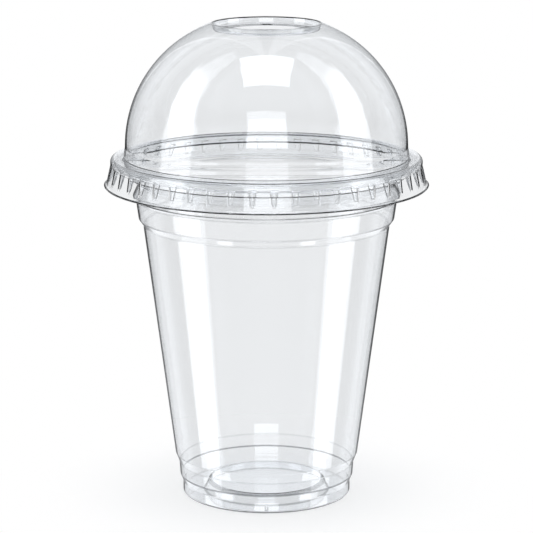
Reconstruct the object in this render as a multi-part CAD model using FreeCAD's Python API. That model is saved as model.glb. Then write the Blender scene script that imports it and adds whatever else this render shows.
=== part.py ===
import FreeCAD, Part
import math
import os

# A clear cold-drink cup with a dome lid, both thermoformed from one thin sheet each.
# Millimetres, +Z up, origin on the table at the centre of the foot.

# Overall sizes of the cup
rim_diameter = 97.0
foot_diameter = 54.8
cup_height = 110.5
cup_wall = 0.45

# Underside: a flat ring stands on the table around a raised panel
standing_ring_width = 7.4
panel_height = 3.5
panel_wall_run = 1.4
foot_height = 3.7

# Stepped collar above the foot, each step given as how far out and how far up it goes
lower_step_out = 0.95
lower_step_up = 2.5
collar_flare = 0.3
collar_height = 4.1
upper_step_out = 1.2
upper_step_up = 3.2

# Shoulder, band, ledge, neck and lid seat, given inwards and downwards from the rim
body_top_in = 8.8
body_top_down = 21.1
shoulder_in = 7.35
shoulder_down = 19.0
band_top_in = 6.5
band_top_down = 12.9
ledge_in = 5.6
ledge_down = 11.8
neck_in = 7.5
neck_down = 7.7
seat_in = 3.1
seat_down = 4.5
roll_size = 2.9
roll_tuck = 1.5

# Rounding of the cup's sheet
foot_round = 0.7
step_round = 0.8
body_round = 1.0
ledge_round = 0.45
neck_round = 0.8
seat_round = 0.6

# Small upright rib on the front of the foot
rib_width = 0.8
rib_proud = 0.2

# Lid
lid_wall = 0.4
seat_gap = 0.15
straw_hole_diameter = 24.9
recess_radius = 16.5
recess_depth = 2.2
recess_wall_run = 0.7
crest_run = 0.9
dome_in = 3.2
dome_wall_height = 3.4
crown_shift = 3.55
crown_angle = 60.0
bead_out = 0.55
bead_lift = 0.3
groove_in = 0.3
groove_depth = 0.5
groove_lip_run = 1.6
edge_height = 2.55
skirt_gap = 1.1
skirt_flare = 1.3
skirt_drop = 8.1
lip_width = 0.8
lip_drop = 0.7

# Rounding of the lid's sheet
crest_round = 0.35
bead_round = 0.3
groove_round = 0.15
edge_round = 1.2
skirt_round = 0.35

# Grip lugs dented into the skirt
lug_count = 48
lug_phase = 2.6
lug_clearance = 0.35
lug_top_width = 2.4
lug_foot_width = 1.2
lug_length = 4.1
lug_foot_depth = 0.45
lug_reach = 3.0

# Worked out from the sizes above
rim_radius = rim_diameter / 2
foot_radius = foot_diameter / 2
panel_radius = foot_radius - standing_ring_width - panel_wall_run
flange_top = cup_height + seat_gap + lid_wall
edge_radius = rim_radius + skirt_gap + lid_wall
dome_radius = rim_radius - dome_in
crest_radius = recess_radius + recess_wall_run + crest_run
lug_top = flange_top - edge_height


def point(radius, height):
    """A point of a profile, radius along +X and height along +Z."""
    return FreeCAD.Vector(radius, 0, height)


def line(start, end):
    return Part.LineSegment(start, end).toShape()


def corner_arc(before, at, after, rounding):
    """The arc of a given radius that touches both lines meeting at a corner."""
    back = (before - at).normalize()
    ahead = (after - at).normalize()
    half_angle = back.getAngle(ahead) / 2
    inward = (back + ahead).normalize()
    reach = rounding / math.tan(half_angle)
    middle = at + inward * (rounding / math.sin(half_angle) - rounding)
    return Part.Arc(at + back * reach, middle, at + ahead * reach).toShape()


def rounded(corners):
    """Edges through (radius, height, rounding) corners, sharp where the rounding is 0."""
    points = [point(radius, height) for radius, height, _ in corners]
    edges = []
    start = points[0]
    for before, at, after, (_, _, rounding) in zip(points, points[1:], points[2:], corners[1:]):
        arcs = [corner_arc(before, at, after, rounding)] if rounding else []
        end = arcs[0].firstVertex().Point if arcs else at
        if end.distanceToPoint(start) > Part.Precision.confusion():
            edges.append(line(start, end))
        edges += arcs
        start = arcs[0].lastVertex().Point if arcs else at
    edges.append(line(start, points[-1]))
    return edges


def turned(face):
    return face.revolve(FreeCAD.Vector(0, 0, 0), FreeCAD.Vector(0, 0, 1), 360)


def turned_sheet(edges, wall):
    """The edges given an even wall, to their left where it is positive, and turned about Z."""
    return turned(Part.Wire(edges).makeOffset2D(wall, fill=True, openResult=True))


def turned_solid(edges):
    """Everything from the axis out to the edges, turned about Z."""
    top = edges[0].firstVertex().Point
    foot = edges[-1].lastVertex().Point
    closing = Part.makePolygon([foot, point(0, foot.z), point(0, top.z), top])
    return turned(Part.Face(Part.Wire(edges + closing.Edges)))


def base_corners():
    """Outside of the raised panel, the standing ring and the stepped collar."""
    ring_inside = foot_radius - standing_ring_width
    collar_foot = foot_radius + lower_step_out
    collar_top = collar_foot + collar_flare
    collar_foot_z = foot_height + lower_step_up
    collar_top_z = collar_foot_z + collar_height
    return [
        (0, panel_height, 0),
        (panel_radius, panel_height, step_round),
        (ring_inside, 0, step_round),
        (foot_radius, 0, foot_round),
        (foot_radius, foot_height, step_round),
        (collar_foot, collar_foot_z, step_round),
        (collar_top, collar_top_z, step_round),
        (collar_top + upper_step_out, collar_top_z + upper_step_up, body_round),
    ]


def top_corners():
    """Outside of the shoulder, band, ledge, neck and lid seat, and the inside of the rolled rim."""
    roll_inner = roll_size / 2 - cup_wall
    roll_out = rim_radius - cup_wall
    roll_in = rim_radius - roll_size + cup_wall
    roll_top = cup_height - cup_wall
    roll_foot = cup_height - roll_size + cup_wall
    return [
        (rim_radius - body_top_in, cup_height - body_top_down, body_round),
        (rim_radius - shoulder_in, cup_height - shoulder_down, body_round),
        (rim_radius - band_top_in, cup_height - band_top_down, ledge_round),
        (rim_radius - ledge_in, cup_height - ledge_down, ledge_round),
        (rim_radius - neck_in, cup_height - neck_down, neck_round),
        (rim_radius - seat_in, cup_height - seat_down, seat_round),
        (roll_in, roll_top, roll_inner),
        (roll_out, roll_top, roll_inner),
        (roll_out, roll_foot, roll_inner),
        (roll_out - roll_tuck, roll_foot, 0),
    ]


def foot_rib():
    """The small upright rib on the front of the foot."""
    rib_height = foot_height - foot_round - step_round
    rib_depth = rib_proud + cup_wall / 2
    corner = FreeCAD.Vector(-rib_width / 2, -foot_radius - rib_proud, foot_round)
    return Part.makeBox(rib_width, rib_depth, rib_height, corner)


def cup():
    sheet = turned_sheet(rounded(base_corners() + top_corners()), cup_wall)
    return sheet.fuse(foot_rib())


def dome_edges():
    """The dome's two tangent arcs, from its crest down to its straight wall.

    The shoulder arc is centred crown_shift off the axis, and the crown arc on the axis.
    """
    angle = math.radians(crown_angle)
    wall_top = flange_top + dome_wall_height
    shoulder_radius = dome_radius - crown_shift
    shoulder_centre = point(crown_shift, wall_top)
    crown_radius = shoulder_radius + crown_shift / math.cos(angle)
    crown_centre = point(0, wall_top - crown_shift * math.tan(angle))
    crest_angle = math.acos(crest_radius / crown_radius)

    def on_arc(centre, radius, turn):
        return centre + point(math.cos(turn), math.sin(turn)) * radius

    crest = on_arc(crown_centre, crown_radius, crest_angle)
    crown_middle = on_arc(crown_centre, crown_radius, (crest_angle + angle) / 2)
    join = on_arc(crown_centre, crown_radius, angle)
    shoulder_middle = on_arc(shoulder_centre, shoulder_radius, angle / 2)
    crown = Part.Arc(crest, crown_middle, join).toShape()
    shoulder = Part.Arc(join, shoulder_middle, point(dome_radius, wall_top)).toShape()
    return [crown, shoulder], crest, math.tan(math.pi / 2 - crest_angle)


def recess_edges(crest, crest_slope):
    """The flat round the straw hole, the recess wall and the crest, up to the dome."""
    crest_in = recess_radius + recess_wall_run
    crest_top = crest.z + (crest.x - crest_in) * crest_slope
    floor = crest_top - recess_depth
    return rounded([
        (straw_hole_diameter / 2, floor, 0),
        (recess_radius, floor, crest_round),
        (crest_in, crest_top, crest_round),
        (crest.x, crest.z, 0),
    ])


def skirt_radius(height):
    """Outside radius of the skirt's straight flank at a height."""
    return edge_radius + skirt_flare * (lug_top - height) / (skirt_drop - edge_height)


def flange_edges():
    """The dome's wall and bead, the groove, the flange over the rim, the skirt and its lip."""
    groove_radius = dome_radius - groove_in
    flank_foot = flange_top - skirt_drop
    lip_edge = skirt_radius(flank_foot) + lip_width
    return rounded([
        (dome_radius, flange_top + dome_wall_height, 0),
        (dome_radius + bead_out, flange_top + bead_lift, bead_round),
        (groove_radius, flange_top - groove_depth, groove_round),
        (groove_radius + groove_lip_run, flange_top, bead_round),
        (edge_radius, flange_top, edge_round),
        (edge_radius, lug_top, 0),
        (skirt_radius(flank_foot), flank_foot, skirt_round),
        (lip_edge, flank_foot - lip_drop, 0),
    ])


def lug_block(grow):
    """A tapered block on +X that reaches in through the skirt, grown on all sides."""
    lug_foot = lug_top - lug_length
    top_floor = rim_radius + lug_clearance + lid_wall
    foot_floor = skirt_radius(lug_foot) - lug_foot_depth

    def section(floor, width, height):
        half = width / 2 + grow
        outside = edge_radius + lug_reach
        corners = [(floor - grow, -half), (outside, -half), (outside, half), (floor - grow, half)]
        ring = [FreeCAD.Vector(x, y, height) for x, y in corners]
        return Part.makePolygon(ring + ring[:1])

    foot_section = section(foot_floor, lug_foot_width, lug_foot - grow)
    top_section = section(top_floor, lug_top_width, lug_top + grow)
    return Part.makeLoft([foot_section, top_section], True, True)


def all_round(shape):
    """The shape repeated at each lug, counted from the front."""
    copies = []
    for index in range(lug_count):
        copy = shape.copy()
        angle = lug_phase + index * 360 / lug_count - 90
        copy.rotate(FreeCAD.Vector(0, 0, 0), FreeCAD.Vector(0, 0, 1), angle)
        copies.append(copy)
    return Part.makeCompound(copies)


def dome_lid():
    dome, crest, crest_slope = dome_edges()
    outline = recess_edges(crest, crest_slope) + dome + flange_edges()
    sheet = turned_sheet(outline, -lid_wall)
    lug_wall = lug_block(lid_wall).common(turned_solid(flange_edges()))
    return sheet.fuse(all_round(lug_wall)).cut(all_round(lug_block(0)))


os.makedirs("parts", exist_ok=True)
for name, shape in (("cup", cup()), ("dome_lid", dome_lid())):
    shape.exportStep(f"parts/{name}.step")
    print(name, shape.isValid(), len(shape.Solids), round(shape.Volume), shape.BoundBox)
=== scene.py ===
import math

import bpy
import numpy as np
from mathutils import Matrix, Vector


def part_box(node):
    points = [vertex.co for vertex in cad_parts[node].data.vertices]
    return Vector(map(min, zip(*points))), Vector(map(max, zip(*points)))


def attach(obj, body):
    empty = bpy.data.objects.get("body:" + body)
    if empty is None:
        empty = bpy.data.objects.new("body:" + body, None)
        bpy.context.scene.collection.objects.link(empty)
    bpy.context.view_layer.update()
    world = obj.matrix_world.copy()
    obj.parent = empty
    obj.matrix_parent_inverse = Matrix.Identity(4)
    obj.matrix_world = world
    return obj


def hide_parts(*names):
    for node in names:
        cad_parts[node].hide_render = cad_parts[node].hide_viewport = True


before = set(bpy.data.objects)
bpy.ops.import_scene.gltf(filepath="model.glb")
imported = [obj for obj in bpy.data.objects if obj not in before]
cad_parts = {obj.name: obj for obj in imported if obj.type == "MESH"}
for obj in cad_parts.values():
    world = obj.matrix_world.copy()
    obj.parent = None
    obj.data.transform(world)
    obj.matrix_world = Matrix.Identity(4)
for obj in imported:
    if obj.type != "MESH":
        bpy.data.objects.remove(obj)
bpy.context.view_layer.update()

bl_info = {
    "name": "Clear Cup with Dome Lid",
    "version": (1, 0, 0),
    "blender": (4, 5, 0),
    "location": "View3D > Sidebar > Clear Cup",
    "description": "Dresses the packed cup and lid as thin clear sheet, and sets the studio",
    "category": "Object",
}

MM = 0.001

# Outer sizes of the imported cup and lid, in mm
RIM_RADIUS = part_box("cup")[1][0] / MM
RIM_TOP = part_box("cup")[1][2] / MM
LIP_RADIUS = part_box("dome_lid")[1][0] / MM
LIP_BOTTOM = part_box("dome_lid")[0][2] / MM

# The lid's skirt, in mm: how high over its lowest point the lip turns out, how far the lip's edge
# stands outside the flange's, how far the skirt hangs from the flange's top to the lip, and how
# far in from the lip's edge skirt and lip reach
LIP_HEIGHT = 1.0
LIP_SPREAD = 2.1
SKIRT_HEIGHT = 8.1
SKIRT_DEPTH = 3.0
# The dome, in mm: how far in from the flange's edge it stands, how high its straight wall goes,
# how far off the axis its shoulder is centred, and the radius that its crown ends at
FLANGE_WIDTH = 4.7
WALL_HEIGHT = 3.4
SHOULDER_SHIFT = 3.55
CROWN_END = 18.1
# Where shoulder and crown meet, as the turn up from level
CROWN_JOIN = math.radians(60.0)
# The recess in the dome's top, in mm: how far in from the crown's end its crest lies, how far in
# from there its floor begins, and how deep it is
CREST_RUN = 0.9
RECESS_RUN = 0.7
RECESS_DEPTH = 2.2

# Heights on the foot where its rib starts, is full, starts to fade and ends, in mm
RIB_ROWS = (0.8, 1.15, 2.55, 2.9)
# Columns down the rib's flanks, from full height to nothing, as shares of its half width
RIB_FLANK = (0.45, 0.75, 1.15)
# A lug's rounded edges, in mm: three of these wide at the flanks, two at the foot, one at the top
LUG_EDGE = 0.12
# How dark the painted shade on the flanks of a lug is, from 0 to 1
LUG_FLANK_PAINTED_SHADE = 0.35

# A rounding's chords stay this close to its arc, in mm, with no fewer steps than this
ARC_ERROR = 0.015
ARC_STEPS = 4
# A row this far past each end of a rounding keeps the straight beside it flat, in mm
LEAD = 0.3
# The tightest rounding that the other side of the sheet is left with, in mm
SHARPEST = 0.04

# Clear PET, as sRGB hex: the sheet, what it leaves of light on its way to the floor, and the
# painted shade that a tight bend is tinted with at its darkest, where the real bend throws light
# aside
PET_COLOUR = "#FBFCFD"
PASSING_COLOUR = "#F6F7F8"
BEND_PAINTED_SHADE_COLOUR = "#3C444E"
PET_IOR = 1.575
# Waves of the sheet and patches of haze on it, in mm, and the roughness of the haziest
WAVE_LENGTH = 14.0
WAVE_HEIGHT = 0.006
HAZE_PATCH = 30.0
HAZE = 0.03
# Most of a noise texture's values lie between these
NOISE_RANGE = (0.35, 0.65)

# Slopes are taken over no less than this, so that they stay finite
NEAR_ZERO = 0.001
# The studio that the plastic reflects. A patch lies between two slopes seen from the cup, from and
# to, and fades over a third number past them. Where the slope can't be negative, a negative from
# leaves the patch whole down to 0.
BACK_PANEL_ACROSS = (-1.0, 0.10, 0.04)
BACK_PANEL_UP = (-0.6, 0.8, 0.3)
CARDS_ACROSS = (0.14, 0.46, 0.04)
WALLS_ACROSS = (0.46, 5000.0, 0.04)
SOFTBOX_ALONG = (-0.48, 0.04, 0.05)
SOFTBOX_UP = (-3.0, 1.0, 0.5)
WINDOWS_ACROSS = (-0.29, 0.29, 0.02)
UPPER_WINDOW_UP = (0.16, 0.66, 0.03)
LOWER_WINDOW_UP = (-0.36, -0.09, 0.03)
OVERHEAD_ACROSS = (-1.0, 0.27, 0.02)
OVERHEAD_ALONG = (-0.46, 0.11, 0.02)
# The walls end by their angle from straight behind, in radians, and the pale floor by z
WALLS_ROUND = (-9.0, 0.9, 0.5)
PALE_FLOOR_Z = (-2.0, -0.55, 0.4)
# The softboxes lean back past this slope up, by this much for each 1 of it
LEAN_FROM = 0.3
LEAN = 0.42
# How much the overhead panel narrows on each side for each 1 along it
OVERHEAD_TAPER = 0.061
# The cards go from black to their grey between these values of z
CARD_GREY = 0.5
CARD_RISE = (-0.16, 0.12)
PALE_FLOOR_GLOW = 0.6
BASE_GLOW = 0.04
STUDIO_COLOUR = "#FAFCFF"

# The floor lies this far under the foot, in mm, so that the two don't share one plane
FLOOR_DROP = 0.1
# Its radius in metres, and the width and depth of its grain in mm
FLOOR_RADIUS = 3.0
GRAIN_WIDTH = 2.0
GRAIN_DEPTH = 0.01
# To the eye the floor is this share white glow up to the first distance from the middle, in mm,
# and all white glow past the second
NEAR_WHITE = 0.5
WHITE_FROM = (20.0, 90.0)

# The lamp overhead: its width and height over the floor in metres, and its brightness
LAMP_WIDTH = 1.4
LAMP_HEIGHT = 1.2
LAMP_RADIANCE = 1.75

# The camera, in metres, looks down by this angle
CAMERA_DISTANCE = 0.7775
CAMERA_HEIGHT = 0.246
CAMERA_PITCH = 0.2167


def length(name, description, default):
    """A length in the scene's metres, from a default in millimetres."""
    return bpy.props.FloatProperty(
        name=name, description=description, default=default * MM, min=0.0,
        precision=5, unit="LENGTH")


class CupSizes(bpy.types.PropertyGroup):
    """Sizes of the cup."""
    wall: length("Wall", "Thickness of the cup's sheet", 0.45)
    foot_radius: length("Foot radius", "Outside radius of the foot", 27.4)
    panel_height: length(
        "Panel height", "How far the bottom is pushed up inside its standing ring", 3.5)
    rib_width: length("Rib width", "Width of the small upright rib on the foot", 0.8)
    rib_proud: length("Rib depth", "How far the rib stands out of the foot", 0.2)
    columns: bpy.props.IntProperty(
        name="Columns", description="Faces round the cup", default=232, min=24)


class LidSizes(bpy.types.PropertyGroup):
    """Sizes of the lid."""
    wall: length("Wall", "Thickness of the lid's sheet", 0.4)
    straw_hole_radius: length("Straw hole radius", "Radius of the hole for the straw", 12.45)
    lug_top_width: length("Lug width at the top", "Width of a lug under the flange", 2.4)
    lug_foot_width: length("Lug width at the foot", "Width of a lug at its lower end", 1.2)
    lug_top_depth: length("Lug depth at the top", "Depth of a lug under the flange", 0.75)
    lug_foot_depth: length("Lug depth at the foot", "Depth of a lug at its lower end", 0.45)
    lug_length: length("Lug length", "Height of a lug", 4.1)
    lug_count: bpy.props.IntProperty(
        name="Lugs", description="Dents round the skirt that grip the rim", default=48, min=3)
    lug_phase: bpy.props.FloatProperty(
        name="Lug phase", description="Turn from the front to the first lug",
        default=math.radians(2.6), subtype="ANGLE")


class StudioSettings(bpy.types.PropertyGroup):
    """The floor, the light and the camera."""
    floor_colour: bpy.props.StringProperty(
        name="Floor colour", description="Colour of the floor, as sRGB hex", default="#F2F2F2")
    side_glow: bpy.props.FloatProperty(
        name="Side glow", description="Brightness of the tall softboxes at the sides",
        default=1.8, min=0.0)
    front_glow: bpy.props.FloatProperty(
        name="Front glow", description="Brightness of the windows in front and the panel overhead",
        default=2.4, min=0.0)
    back_glow: bpy.props.FloatProperty(
        name="Back glow", description="Brightness of the pale walls beside the backdrop",
        default=0.55, min=0.0)
    lens: bpy.props.FloatProperty(
        name="Lens", description="Focal length of the camera", default=166.2, unit="CAMERA")


# Profiles

def cup_outline(sizes):
    """Corners of the cup's outside, from the middle of its bottom to the cut edge of its roll.

    Each row is a radius, a height and a rounding, in mm, and how dark the bend's painted shade is,
    from 0 to 1.
    The upper rows are measured in from the rim's edge and down from its top.
    """
    rim, top = RIM_RADIUS, RIM_TOP
    foot, panel = sizes.foot_radius / MM, sizes.panel_height / MM
    return np.array([
        (0.0, panel, 0.0, 0.0),
        (foot - 8.8, panel, 0.8, 0.4),           # edge of the pushed-up panel
        (foot - 7.4, 0.0, 0.8, 0.4),             # inside of the standing ring
        (foot, 0.0, 0.7, 0.15),                  # outside of the standing ring
        (foot, 3.7, 0.8, 0.0),                   # top of the foot's upright wall
        (foot + 0.95, 6.2, 0.8, 0.7),            # lower step
        (foot + 1.25, 10.3, 0.8, 0.12),          # collar
        (foot + 2.45, 13.5, 1.0, 0.0),           # upper step, foot of the tapered body
        (rim - 8.8, top - 21.1, 1.0, 0.15),      # top of the tapered body
        (rim - 7.35, top - 19.0, 1.0, 0.2),      # shoulder
        (rim - 6.5, top - 12.9, 0.45, 0.2),      # top of the upper band
        (rim - 5.6, top - 11.8, 0.45, 0.3),      # ledge
        (rim - 7.5, top - 7.7, 0.8, 0.1),        # neck
        (rim - 3.1, top - 4.5, 0.6, 0.0),        # seat under the roll
        (rim - 2.45, top - 0.45, 1.0, 0.0),      # inside of the roll
        (rim - 0.45, top - 0.45, 1.0, 0.0),      # top of the roll
        (rim - 0.45, top - 2.45, 1.0, 0.0),      # outside of the roll
        (rim - 1.95, top - 2.45, 0.0, 0.0),      # the roll's cut edge
    ])


def bow(centre, radius, start, end):
    """An arc written as a rounded corner: where its end tangents meet, its radius, and no line.

    That corner lies radius / cos(half the turn) from the centre, halfway round.
    """
    middle, half = (start + end) / 2, (end - start) / 2
    reach = radius / math.cos(half)
    return centre[0] + reach * math.cos(middle), centre[1] + reach * math.sin(middle), radius, 0.0


def lid_outline(sizes):
    """Corners of the lid's outside, from the lip of its skirt up and in to the straw hole.

    Each row is a radius, a height and a rounding, in mm, and how dark the bend's painted shade is,
    from 0 to 1.
    The dome is two arcs that run into each other: a shoulder centred a little off the axis, and a
    crown centred on it. The crown's slope at its end goes on straight to the crest.
    """
    lip, flank = LIP_RADIUS, LIP_BOTTOM + LIP_HEIGHT
    edge, top = lip - LIP_SPREAD, flank + SKIRT_HEIGHT
    dome, wall_top = edge - FLANGE_WIDTH, top + WALL_HEIGHT
    shoulder = dome - SHOULDER_SHIFT
    crown = shoulder + SHOULDER_SHIFT / math.cos(CROWN_JOIN)
    crown_z = wall_top - SHOULDER_SHIFT * math.tan(CROWN_JOIN)
    turn = math.acos(CROWN_END / crown)
    crest = CROWN_END - CREST_RUN
    crest_top = crown_z + crown * math.sin(turn) + CREST_RUN / math.tan(turn)
    floor = crest_top - RECESS_DEPTH
    hole = sizes.straw_hole_radius / MM
    return np.array([
        (lip, flank - 0.7, 0.0, 0.0),                   # edge of the lip
        (lip - 0.8, flank, 0.35, 0.0),                  # where the lip turns out
        (edge, top - 2.55, 0.0, 0.0),                   # crease over the lugs
        (edge, top, 1.2, 0.0),                          # outer edge of the flange
        (edge - 3.4, top, 0.3, 0.0),                    # inner edge of the flange
        (dome - 0.3, top - 0.5, 0.15, 0.1),             # groove
        (dome + 0.55, top + 0.3, 0.3, 0.0),             # bead at the foot of the dome
        (dome, wall_top, 0.0, 0.0),                     # top of the dome's straight wall
        bow((SHOULDER_SHIFT, wall_top), shoulder, 0.0, CROWN_JOIN),
        bow((0.0, crown_z), crown, CROWN_JOIN, turn),
        (crest, crest_top, 0.35, 0.0),                  # crest
        (crest - RECESS_RUN, floor, 0.35, 0.1),         # edge of the recess floor
        (hole, floor, 0.0, 0.0),                        # edge of the straw hole
    ])


def legs(corners):
    """Unit direction and length of each leg between corners."""
    steps = np.diff(corners[:, :2], axis=0)
    spans = np.hypot(steps[:, 0], steps[:, 1])
    return steps / spans[:, None], spans


def turns(ways):
    """Turn at each inner corner, to the left positive: atan2 of cross and dot products."""
    before, after = ways[:-1], ways[1:]
    cross = before[:, 0] * after[:, 1] - before[:, 1] * after[:, 0]
    return np.arctan2(cross, (before * after).sum(axis=1))


def parallel(corners, depth):
    """The corners of the sheet's other side, depth to the left.

    An end moves along its leg's left normal, and an inner corner along its mitre,
    (n1 + n2) / (1 + n1 . n2). A rounding shrinks by depth at a left turn and grows at a right one.
    """
    ways, _ = legs(corners)
    normals = np.stack([-ways[:, 1], ways[:, 0]], axis=1)
    before, after = normals[:-1], normals[1:]
    mitres = (before + after) / (1 + (before * after).sum(axis=1))[:, None]
    moved = corners.copy()
    moved[:, :2] += depth * np.vstack([normals[:1], mitres, normals[-1:]])
    moved[1:-1, 2] = np.maximum(corners[1:-1, 2] - depth * np.sign(turns(ways)), SHARPEST)
    return moved


def rounded(corners):
    """Rows of radius, height and painted shade along the corners, with each inner one rounded.

    A rounding of radius R and turn T starts and ends R * tan(T / 2) from its corner, and its
    points are the start turned about the centre by even shares of T. A sharp corner stays one
    point. A row is set a little before and after each rounding, where the straight has room.
    """
    ways, spans = legs(corners)
    turn, radius = turns(ways), corners[1:-1, 2]
    reach = np.abs(radius * np.tan(turn / 2))
    room = spans - np.append(reach, 0) - np.insert(reach, 0, 0)
    lead = np.clip(room / 3, 0, LEAD)
    step = np.sqrt(8 * ARC_ERROR / np.maximum(radius, SHARPEST))
    steps = np.maximum(ARC_STEPS, np.ceil(np.abs(turn) / step)).astype(int) * (radius > 0)

    # One entry per point: k is its corner, and i counts from -1 before it to steps + 1 after it
    count = np.where(steps > 0, steps + 3, 1)
    k = np.repeat(np.arange(len(count)), count)
    first = np.cumsum(count) - count
    i = np.arange(len(k)) - first[k] - (steps[k] > 0)
    share = np.clip(i / np.maximum(steps[k], 1), 0, 1)

    left = np.stack([-ways[:-1, 1], ways[:-1, 0]], axis=1) * np.sign(turn)[:, None]
    start = corners[1:-1, :2] - ways[:-1] * reach[:, None]
    centre = start + left * radius[:, None]
    arm = (start - centre)[k]
    angle = turn[k] * share
    turned = np.stack([
        arm[:, 0] * np.cos(angle) - arm[:, 1] * np.sin(angle),
        arm[:, 0] * np.sin(angle) + arm[:, 1] * np.cos(angle)], axis=1)
    points = centre[k] + turned
    points -= ways[:-1][k] * (lead[:-1][k] * (i < 0))[:, None]
    points += ways[1:][k] * (lead[1:][k] * ((i > steps[k]) & (steps[k] > 0)))[:, None]
    # A bend's painted shade covers its rounding alone
    dark = corners[1:-1, 3][k] * ((i >= 0) & (i <= steps[k]))

    line = np.vstack([corners[:1, :2], points, corners[-1:, :2]])
    line = np.column_stack([line, np.concatenate([[0.0], dark, [0.0]])])
    apart = np.hypot(*np.diff(line[:, :2], axis=0).T) > SHARPEST / 8
    return line[np.append(True, apart)]


def with_rows(line, heights):
    """The line with a point added where it first climbs past each of the heights, lowest first."""
    z = line[:, 1]
    cuts = []
    for height in heights:
        side = np.sign(z - height)
        cut = np.nonzero((side[:-1] < 0) & (side[1:] > 0))[0][0]
        share = (height - z[cut]) / (z[cut + 1] - z[cut])
        cuts.append((cut + 1, line[cut] + share * (line[cut + 1] - line[cut])))
    return np.insert(line, [at for at, _ in cuts], [spot for _, spot in cuts], axis=0)


# Meshes

def sheet_piece(name, radius, height, angle, dark, pole):
    """A closed sheet turned about the axis, from grids of radius, height, angle and painted shade.

    A point is (r sin a, -r cos a, z), with a counted from the front towards +X. Rows run up the
    outside and back down the inside, so faces in this order point out of the plastic. The first
    and last rows are each closed by a fan round a point on the axis where pole is true, and by a
    strip between them where it isn't. The painted shade of the bends goes into the bend attribute.
    """
    rows, columns = radius.shape
    points = np.stack([radius * np.sin(angle), -radius * np.cos(angle), height], axis=-1)
    points = points.reshape(-1, 3)
    grid = np.arange(rows * columns).reshape(rows, columns)
    beside = np.roll(grid, -1, axis=1)
    if pole:
        here, there = slice(0, rows - 1), slice(1, rows)
    else:
        here, there = slice(0, rows), (np.arange(rows) + 1) % rows
    quads = np.stack([grid[here], beside[here], beside[there], grid[there]], axis=-1)
    quads = quads.reshape(-1, 4)
    corners, sizes = [quads.ravel()], [np.full(len(quads), 4)]
    if pole:
        ends = np.array([[0, 0, height[0, 0]], [0, 0, height[-1, 0]]])
        below, above = len(points), len(points) + 1
        points = np.vstack([points, ends])
        dark = np.append(dark, [0.0, 0.0])
        fans = [np.stack([np.full(columns, below), beside[0], grid[0]], axis=-1),
                np.stack([np.full(columns, above), grid[-1], beside[-1]], axis=-1)]
        corners += [fan.ravel() for fan in fans]
        sizes += [np.full(columns, 3)] * 2
    corners, sizes = np.concatenate(corners), np.concatenate(sizes)

    mesh = bpy.data.meshes.new(name)
    mesh.vertices.add(len(points))
    mesh.vertices.foreach_set("co", (points * MM).ravel())
    mesh.loops.add(len(corners))
    mesh.loops.foreach_set("vertex_index", corners.astype(np.int32))
    mesh.polygons.add(len(sizes))
    mesh.polygons.foreach_set("loop_start", (np.cumsum(sizes) - sizes).astype(np.int32))
    mesh.polygons.foreach_set("use_smooth", np.ones(len(sizes), bool))
    mesh.update(calc_edges=True)
    mesh.attributes.new("bend", "FLOAT", "POINT").data.foreach_set("value", dark.ravel())
    if mesh.validate():
        raise RuntimeError(f"{name} has faces that don't fit together")
    piece = bpy.data.objects.new(name, mesh)
    bpy.context.scene.collection.objects.link(piece)
    return piece


def ramp(values, start, end):
    """0 before start, 1 after end, and a smooth 3t^2 - 2t^3 between."""
    t = np.clip((values - start) / (end - start), 0, 1)
    return t * t * (3 - 2 * t)


def dress(piece, body, node, material):
    """Puts a finished piece in its CAD node's place."""
    piece.data.materials.append(material)
    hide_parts(node)
    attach(piece, body)


# Materials

def linear(hex_colour):
    """An sRGB hex colour as linear RGBA: c / 12.92, or ((c + 0.055) / 1.055) ^ 2.4 past 0.04045."""
    values = np.array([int(hex_colour[i:i + 2], 16) for i in (1, 3, 5)]) / 255
    values = np.where(values > 0.04045, ((values + 0.055) / 1.055) ** 2.4, values / 12.92)
    return (*values, 1.0)


def add(tree, kind, settings=(), **inputs):
    """A node with its settings, and its inputs set to values or linked to outputs.

    An input goes by its name, with _ for each space, or by _ and its number.
    """
    node = tree.nodes.new(kind)
    for name, value in dict(settings).items():
        setattr(node, name, value)
    for name, value in inputs.items():
        key = int(name[1:]) if name[1:].isdigit() else name.replace("_", " ")
        if isinstance(value, bpy.types.NodeSocket):
            tree.links.new(value, node.inputs[key])
        else:
            node.inputs[key].default_value = value
    return node


def new_material(name):
    """An empty node material, and its tree."""
    material = bpy.data.materials.new(name)
    material.use_nodes = True
    material.node_tree.nodes.clear()
    return material, material.node_tree


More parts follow.
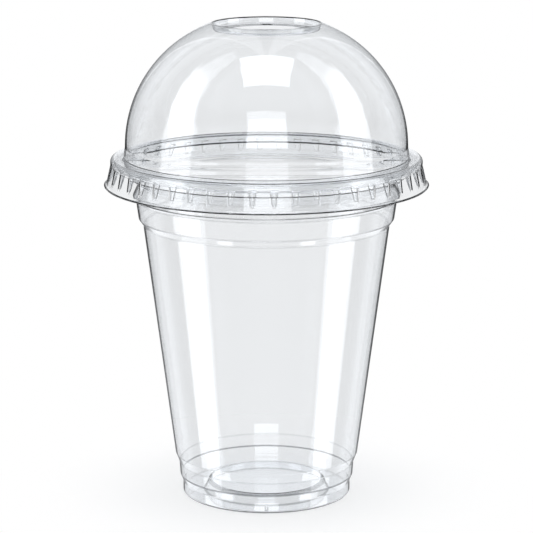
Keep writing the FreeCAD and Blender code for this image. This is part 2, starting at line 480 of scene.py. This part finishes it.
def drawn_pet(name):
    """Clear PET sheet, drawn warm over a mould.

    The eye gets bright glass with crisp edges, and reflections that swim a little where the sheet
    cooled unevenly: long shallow waves, and a haze in patches that makes some reflections a trace
    softer. A tight bend throws light aside, and its fine dark line is partly painted shade: the
    sheet's colour is tinted dark as the piece's own bend attribute says. Light from lamps passes,
    so the plastic casts only a faint shadow.
    """
    material, tree = new_material(name)
    place = add(tree, "ShaderNodeTexCoord").outputs["Object"]
    waves = add(tree, "ShaderNodeTexNoise", Vector=place, Scale=1 / (WAVE_LENGTH * MM), Detail=1.0)
    bump = add(tree, "ShaderNodeBump", Height=waves.outputs["Fac"], Strength=1.0,
               Distance=WAVE_HEIGHT * MM)
    patches = add(tree, "ShaderNodeTexNoise", Vector=place, Scale=1 / (HAZE_PATCH * MM), Detail=2.0)
    rough = add(tree, "ShaderNodeMapRange", Value=patches.outputs["Fac"],
                From_Min=NOISE_RANGE[0], From_Max=NOISE_RANGE[1], To_Min=HAZE / 3, To_Max=HAZE)
    # Painted shade: the sheet's colour is tinted dark along tight bends, as the bend attribute says
    bend = add(tree, "ShaderNodeAttribute", {"attribute_name": "bend"}).outputs["Fac"]
    colour = add(tree, "ShaderNodeMix", {"data_type": "RGBA"}, _0=bend, _6=linear(PET_COLOUR),
                 _7=linear(BEND_PAINTED_SHADE_COLOUR)).outputs[2]
    plastic = add(tree, "ShaderNodeBsdfPrincipled", Base_Color=colour,
                  Roughness=rough.outputs["Result"], IOR=PET_IOR, Transmission_Weight=1.0,
                  Normal=bump.outputs["Normal"])
    passing = add(tree, "ShaderNodeBsdfTransparent", Color=linear(PASSING_COLOUR))
    shadow = add(tree, "ShaderNodeLightPath").outputs["Is Shadow Ray"]
    mixed = add(tree, "ShaderNodeMixShader", _0=shadow, _1=plastic.outputs[0],
                _2=passing.outputs[0])
    add(tree, "ShaderNodeOutputMaterial", Surface=mixed.outputs[0])
    return material


def maths(tree, operation, *values):
    """The output of a Math node."""
    inputs = {f"_{i}": value for i, value in enumerate(values)}
    return add(tree, "ShaderNodeMath", {"operation": operation}, **inputs).outputs[0]


def between(tree, value, patch):
    """1 where value lies between the patch's first two numbers, fading to 0 past each."""
    low, high, fade = patch
    middle, half = (low + high) / 2, (high - low) / 2
    away = maths(tree, "ABSOLUTE", maths(tree, "SUBTRACT", value, middle))
    return add(tree, "ShaderNodeMapRange", {"interpolation_type": "SMOOTHSTEP"}, Value=away,
               From_Min=half, From_Max=half + fade, To_Min=1.0, To_Max=0.0).outputs[0]


def white_share(tree):
    """1 for rays from the eye that haven't been reflected, straight or through the plastic."""
    path = add(tree, "ShaderNodeLightPath").outputs
    seen = maths(tree, "ADD", path["Is Camera Ray"], path["Is Transmission Ray"])
    straight = maths(tree, "LESS_THAN", path["Glossy Depth"], 0.5)
    return maths(tree, "MULTIPLY", maths(tree, "MINIMUM", seen, 1.0), straight)


def backdrop(tree, x, y, z, settings):
    """Behind the cup, |x| / y across and z / y up: a tall white panel, cards and pale walls.

    The cards beside the panel are black low down and grey higher up. The walls past them fade
    with the angle from straight behind. The pale floor shows where the plastic faces down.
    """
    behind = maths(tree, "MAXIMUM", y, NEAR_ZERO)
    across = maths(tree, "DIVIDE", maths(tree, "ABSOLUTE", x), behind)
    panel = maths(tree, "MULTIPLY", between(tree, across, BACK_PANEL_ACROSS),
                  between(tree, maths(tree, "DIVIDE", z, behind), BACK_PANEL_UP))
    grey = add(tree, "ShaderNodeMapRange", Value=z, From_Min=CARD_RISE[0], From_Max=CARD_RISE[1],
               To_Max=CARD_GREY).outputs[0]
    cards = maths(tree, "MULTIPLY", between(tree, across, CARDS_ACROSS), grey)
    walls = maths(tree, "MULTIPLY", between(tree, across, WALLS_ACROSS),
                  between(tree, maths(tree, "ARCCOSINE", y), WALLS_ROUND))
    glow = maths(tree, "ADD", panel, cards)
    glow = maths(tree, "MULTIPLY_ADD", walls, settings.back_glow, glow)
    return maths(tree, "MULTIPLY_ADD", between(tree, z, PALE_FLOOR_Z), PALE_FLOOR_GLOW, glow)


def softboxes(tree, x, y, z, settings):
    """A tall softbox on each side, y / |x| along and z / |x| up, that leans back at the top."""
    side = maths(tree, "MAXIMUM", maths(tree, "ABSOLUTE", x), NEAR_ZERO)
    along, up = maths(tree, "DIVIDE", y, side), maths(tree, "DIVIDE", z, side)
    above = maths(tree, "MAXIMUM", maths(tree, "SUBTRACT", up, LEAN_FROM), 0.0)
    along = maths(tree, "SUBTRACT", along, maths(tree, "MULTIPLY", above, LEAN))
    strip = maths(tree, "MULTIPLY", between(tree, along, SOFTBOX_ALONG),
                  between(tree, up, SOFTBOX_UP))
    return maths(tree, "MULTIPLY", strip, settings.side_glow)


def windows(tree, x, y, z, settings):
    """Two windows in front, one above the other: x / -y across and z / -y up."""
    front = maths(tree, "MAXIMUM", maths(tree, "MULTIPLY", y, -1.0), NEAR_ZERO)
    across, up = maths(tree, "DIVIDE", x, front), maths(tree, "DIVIDE", z, front)
    rows = maths(tree, "ADD", between(tree, up, UPPER_WINDOW_UP),
                 between(tree, up, LOWER_WINDOW_UP))
    panes = maths(tree, "MULTIPLY", between(tree, across, WINDOWS_ACROSS), rows)
    return maths(tree, "MULTIPLY", panes, settings.front_glow)


def overhead_panel(tree, x, y, z, settings):
    """A tapered panel overhead: |x| / z across and y / z along, narrower towards the back."""
    height = maths(tree, "MAXIMUM", z, NEAR_ZERO)
    across = maths(tree, "ABSOLUTE", maths(tree, "DIVIDE", x, height))
    along = maths(tree, "DIVIDE", y, height)
    across = maths(tree, "MULTIPLY_ADD", along, OVERHEAD_TAPER, across)
    panel = maths(tree, "MULTIPLY", between(tree, across, OVERHEAD_ACROSS),
                  between(tree, along, OVERHEAD_ALONG))
    return maths(tree, "MULTIPLY", panel, settings.front_glow)


def studio_surround(settings):
    """White where the eye looks straight or through the plastic, and the studio for the rest.

    The studio is what the plastic reflects. It is dark but for patches of the directions
    (x, y, z) from the cup, and their glows add up with a faint even one.
    """
    world = bpy.data.worlds.new("studio_surround")
    world.use_nodes = True
    tree = world.node_tree
    tree.nodes.clear()
    way = add(tree, "ShaderNodeTexCoord").outputs["Generated"]
    x, y, z = add(tree, "ShaderNodeSeparateXYZ", Vector=way).outputs[:3]
    glow = maths(tree, "ADD", backdrop(tree, x, y, z, settings), BASE_GLOW)
    for part in (softboxes, windows, overhead_panel):
        glow = maths(tree, "ADD", glow, part(tree, x, y, z, settings))
    studio = add(tree, "ShaderNodeBackground", Color=linear(STUDIO_COLOUR), Strength=glow)
    white = add(tree, "ShaderNodeBackground", Color=(1, 1, 1, 1), Strength=1.0)
    mixed = add(tree, "ShaderNodeMixShader", _0=white_share(tree), _1=studio.outputs[0],
                _2=white.outputs[0])
    add(tree, "ShaderNodeOutputWorld", Surface=mixed.outputs[0])
    return world


def painted_board(colour):
    """Matt painted board for the floor: an even pale grey that a soft shadow shows on.

    To the eye it glows white, as a lit backdrop does, and leaves a share of the paint with its
    shadow in near the cup. What the plastic has reflected passes through to the studio.
    """
    material, tree = new_material("painted_board")
    place = add(tree, "ShaderNodeTexCoord").outputs["Object"]
    grain = add(tree, "ShaderNodeTexNoise", Vector=place, Scale=1 / (GRAIN_WIDTH * MM), Detail=2.0)
    bump = add(tree, "ShaderNodeBump", Height=grain.outputs["Fac"], Strength=0.1,
               Distance=GRAIN_DEPTH * MM)
    paint = add(tree, "ShaderNodeBsdfDiffuse", Color=linear(colour),
                Normal=bump.outputs["Normal"])
    white = add(tree, "ShaderNodeEmission", Color=(1, 1, 1, 1), Strength=1.0)
    away = add(tree, "ShaderNodeVectorMath", {"operation": "LENGTH"}, _0=place).outputs["Value"]
    share = add(tree, "ShaderNodeMapRange", {"interpolation_type": "SMOOTHSTEP"}, Value=away,
                From_Min=WHITE_FROM[0] * MM, From_Max=WHITE_FROM[1] * MM, To_Min=NEAR_WHITE)
    seen = add(tree, "ShaderNodeMixShader", _0=share.outputs[0], _1=paint.outputs[0],
               _2=white.outputs[0])
    board = add(tree, "ShaderNodeMixShader", _0=white_share(tree), _1=paint.outputs[0],
                _2=seen.outputs[0])
    depth = add(tree, "ShaderNodeLightPath").outputs["Glossy Depth"]
    passing = add(tree, "ShaderNodeBsdfTransparent", Color=(1, 1, 1, 1))
    mixed = add(tree, "ShaderNodeMixShader", _0=maths(tree, "GREATER_THAN", depth, 0.5),
                _1=board.outputs[0], _2=passing.outputs[0])
    add(tree, "ShaderNodeOutputMaterial", Surface=mixed.outputs[0])
    return material


# Operators

class MakeCup(bpy.types.Operator):
    """Make the cup's drawn sheet with its rolled rim, ledge, stepped foot and small rib"""
    bl_idname = "clear_cup.make_cup"
    bl_label = "Make Cup"

    def execute(self, context):
        sizes = context.scene.clear_cup_sizes
        outside = cup_outline(sizes)
        inside = parallel(outside, sizes.wall / MM)
        line = np.vstack([with_rows(rounded(outside), RIB_ROWS), rounded(inside)[::-1]])[1:-1]

        # Columns stand evenly round the cup, with a few more at the rib's flanks
        foot, half = sizes.foot_radius / MM, sizes.rib_width / MM / 2
        flank = np.array(RIB_FLANK) * half / foot
        even = np.linspace(0, 2 * np.pi, sizes.columns, endpoint=False)
        angle = np.union1d(even, np.append(flank, -flank) % (2 * np.pi))
        radius, height, dark, angle = np.broadcast_arrays(
            line[:, :1], line[:, 1:2], line[:, 2:], angle[None, :])

        # The rib swells out of the foot's upright wall, on the outside alone
        across = foot * np.abs((angle + np.pi) % (2 * np.pi) - np.pi)
        low, mid_low, mid_high, high = RIB_ROWS
        along = ramp(height, low, mid_low) * ramp(-height, -high, -mid_high)
        over = ramp(-across, -RIB_FLANK[-1] * half, -RIB_FLANK[0] * half)
        outer = np.abs(radius - foot) < sizes.wall / MM / 4
        radius = radius + sizes.rib_proud / MM * over * along * outer

        piece = sheet_piece("cup_sheet", radius, height, angle, dark, pole=True)
        dress(piece, "cup", "cup", drawn_pet("drawn_pet_cup"))
        return {"FINISHED"}


class MakeLid(bpy.types.Operator):
    """Make the lid's drawn sheet: dome, straw hole, flange, and the skirt with its grip lugs"""
    bl_idname = "clear_cup.make_lid"
    bl_label = "Make Lid"

    def execute(self, context):
        sizes = context.scene.clear_lid_sizes
        outside = lid_outline(sizes)
        inside = parallel(outside, sizes.wall / MM)
        # The lugs hang from the crease, which is the third row of the outline
        crease, edge = outside[2, 1], LUG_EDGE
        foot = crease - sizes.lug_length / MM
        rows = (foot - edge, foot, foot + edge, (foot + crease) / 2, crease - 3 * edge,
                crease - 2 * edge, crease - edge)
        sides = [with_rows(rounded(side), rows) for side in (outside, inside)]
        line = np.vstack([sides[0], sides[1][::-1]])
        radius, height, dark = line[:, :1], line[:, 1:2], line[:, 2:]

        # Ten columns to a lug: its floor, both flanks, and the skirt halfway to the next lug
        turn = 2 * np.pi / sizes.lug_count
        pitch = turn * (LIP_RADIUS - LIP_SPREAD)
        share = np.clip((height - foot) / (crease - foot), 0, 1)
        width = sizes.lug_foot_width + share * (sizes.lug_top_width - sizes.lug_foot_width)
        half = width / MM / 2
        out = [half - 2 * edge, half - edge / 2, half + edge, half + 2.5 * edge]
        across = np.hstack([-pitch / 2 + 0 * half] + [-x for x in out[::-1]] + [0 * half] + out)
        lug = np.arange(sizes.lug_count) * turn + sizes.lug_phase
        angle = lug[None, :, None] + across[:, None, :] * turn / pitch
        angle = angle.reshape(len(line), -1)
        across = np.tile(across, (1, sizes.lug_count))

        # A lug's depth fades over its flanks and at its foot, and is cut off under the crease
        depth = (sizes.lug_foot_depth + share * (sizes.lug_top_depth - sizes.lug_foot_depth)) / MM
        within = ramp(half + edge - np.abs(across), 0.0, 3 * edge)
        within = within * ramp(height, foot - edge, foot + edge)
        within = within * ramp(-height, -crease, edge - crease)
        within = within * ((height < crease) & (radius > LIP_RADIUS - SKIRT_DEPTH))
        radius = radius - depth * within

        # The flanks are tight bends too, with painted shade that is darkest halfway down them
        dark = dark + LUG_FLANK_PAINTED_SHADE * 4 * within * (1 - within)

        piece = sheet_piece("lid_sheet", radius, height + 0 * radius, angle, dark, pole=False)
        dress(piece, "lid", "dome_lid", drawn_pet("drawn_pet_lid"))
        return {"FINISHED"}


class SetStudio(bpy.types.Operator):
    """Set the pale floor, the surround, the lamp and the camera"""
    bl_idname = "clear_cup.set_studio"
    bl_label = "Set Studio"

    def execute(self, context):
        scene, settings = context.scene, context.scene.clear_cup_studio
        scene.view_settings.view_transform = "Standard"
        scene.world = studio_surround(settings)
        make_floor(settings)
        hang_softbox()
        set_camera(scene, settings)
        return {"FINISHED"}


def make_floor(settings):
    """A round pale floor: rings of points at its radius times the square of an even share."""
    rings, columns = 24, 96
    radius = FLOOR_RADIUS * np.linspace(0, 1, rings + 1)[1:, None] ** 2
    angle = np.linspace(0, 2 * np.pi, columns, endpoint=False)[None, :]
    points = np.stack([radius * np.cos(angle), radius * np.sin(angle),
                       -FLOOR_DROP * MM + 0 * radius + 0 * angle], axis=-1).reshape(-1, 3)
    grid = np.arange(rings * columns).reshape(rings, columns)
    beside = np.roll(grid, -1, axis=1)
    quads = np.stack([grid[:-1], grid[1:], beside[1:], beside[:-1]], axis=-1).reshape(-1, 4)
    mesh = bpy.data.meshes.new("floor")
    mesh.from_pydata(points, [], quads.tolist() + [grid[0].tolist()])
    mesh.materials.append(painted_board(settings.floor_colour))
    floor = bpy.data.objects.new("floor", mesh)
    floor.visible_glossy = False
    bpy.context.scene.collection.objects.link(floor)


def hang_softbox():
    """A soft square lamp over the cup, for the floor and its shadow. It isn't reflected itself.

    An area lamp's energy is its radiance times pi times its area.
    """
    data = bpy.data.lights.new("softbox_above", "AREA")
    data.size = LAMP_WIDTH
    data.energy = LAMP_RADIANCE * math.pi * LAMP_WIDTH ** 2
    softbox = bpy.data.objects.new("softbox_above", data)
    softbox.location = (0.0, 0.0, LAMP_HEIGHT)
    softbox.visible_glossy = softbox.visible_transmission = False
    bpy.context.scene.collection.objects.link(softbox)


def set_camera(scene, settings):
    """The camera stands in front, higher than the lid, and looks down at the cup's middle."""
    data = bpy.data.cameras.new("camera")
    data.lens, data.sensor_width, data.clip_start = settings.lens, 36.0, 0.01
    camera = bpy.data.objects.new("camera", data)
    camera.location = (0.0, -CAMERA_DISTANCE, CAMERA_HEIGHT)
    camera.rotation_euler = (math.pi / 2 - CAMERA_PITCH, 0.0, 0.0)
    scene.collection.objects.link(camera)
    scene.camera = camera


class ClearCupPanel(bpy.types.Panel):
    """Lists the pieces and the studio"""
    bl_idname = "VIEW3D_PT_clear_cup"
    bl_label = "Clear Cup"
    bl_space_type = "VIEW_3D"
    bl_region_type = "UI"
    bl_category = "Clear Cup"

    def draw(self, context):
        scene = context.scene
        for operator, sizes in ((MakeCup, scene.clear_cup_sizes), (MakeLid, scene.clear_lid_sizes),
                                (SetStudio, scene.clear_cup_studio)):
            box = self.layout.box()
            box.operator(operator.bl_idname)
            for name in sizes.__annotations__:
                box.prop(sizes, name)


CLASSES = (CupSizes, LidSizes, StudioSettings, MakeCup, MakeLid, SetStudio, ClearCupPanel)


def register():
    for item in CLASSES:
        bpy.utils.register_class(item)
    bpy.types.Scene.clear_cup_sizes = bpy.props.PointerProperty(type=CupSizes)
    bpy.types.Scene.clear_lid_sizes = bpy.props.PointerProperty(type=LidSizes)
    bpy.types.Scene.clear_cup_studio = bpy.props.PointerProperty(type=StudioSettings)


def unregister():
    for name in ("clear_cup_sizes", "clear_lid_sizes", "clear_cup_studio"):
        delattr(bpy.types.Scene, name)
    for item in reversed(CLASSES):
        bpy.utils.unregister_class(item)


def main():
    register()
    bpy.ops.clear_cup.make_cup()
    bpy.ops.clear_cup.make_lid()
    bpy.ops.clear_cup.set_studio()


if __name__ == "__main__":
    main()
